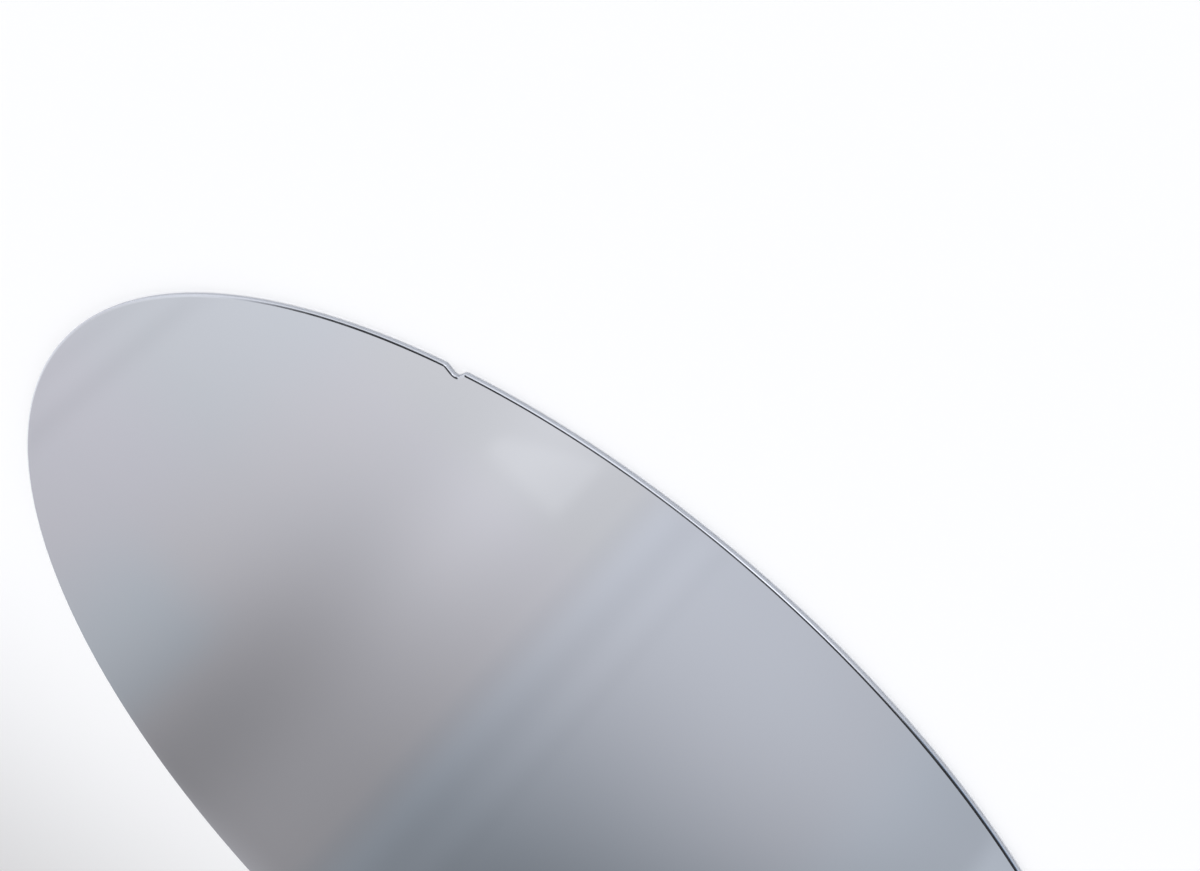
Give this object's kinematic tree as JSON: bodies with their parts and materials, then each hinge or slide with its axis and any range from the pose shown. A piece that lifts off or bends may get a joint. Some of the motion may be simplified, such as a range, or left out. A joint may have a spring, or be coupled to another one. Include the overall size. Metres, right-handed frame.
{
  "type": "silicon wafer",
  "caption": "Thin round silicon wafer with one polished face, a rounded ground edge and a small V notch in the rim.",
  "frame": {"origin": "centre of the back face, on the surface that the wafer lies on", "axes": "+Z out of the polished face, -Y through the notch, +X to the right seen from the notch side"},
  "size_m": [0.2, 0.2, 0.0007],
  "materials": {
    "silicon": "mirror-polished single-crystal silicon, cool grey, with a fine-ground edge and a bright etched back"
  },
  "bodies": {
    "root": {"wafer": "silicon"}
  },
  "joints": []
}
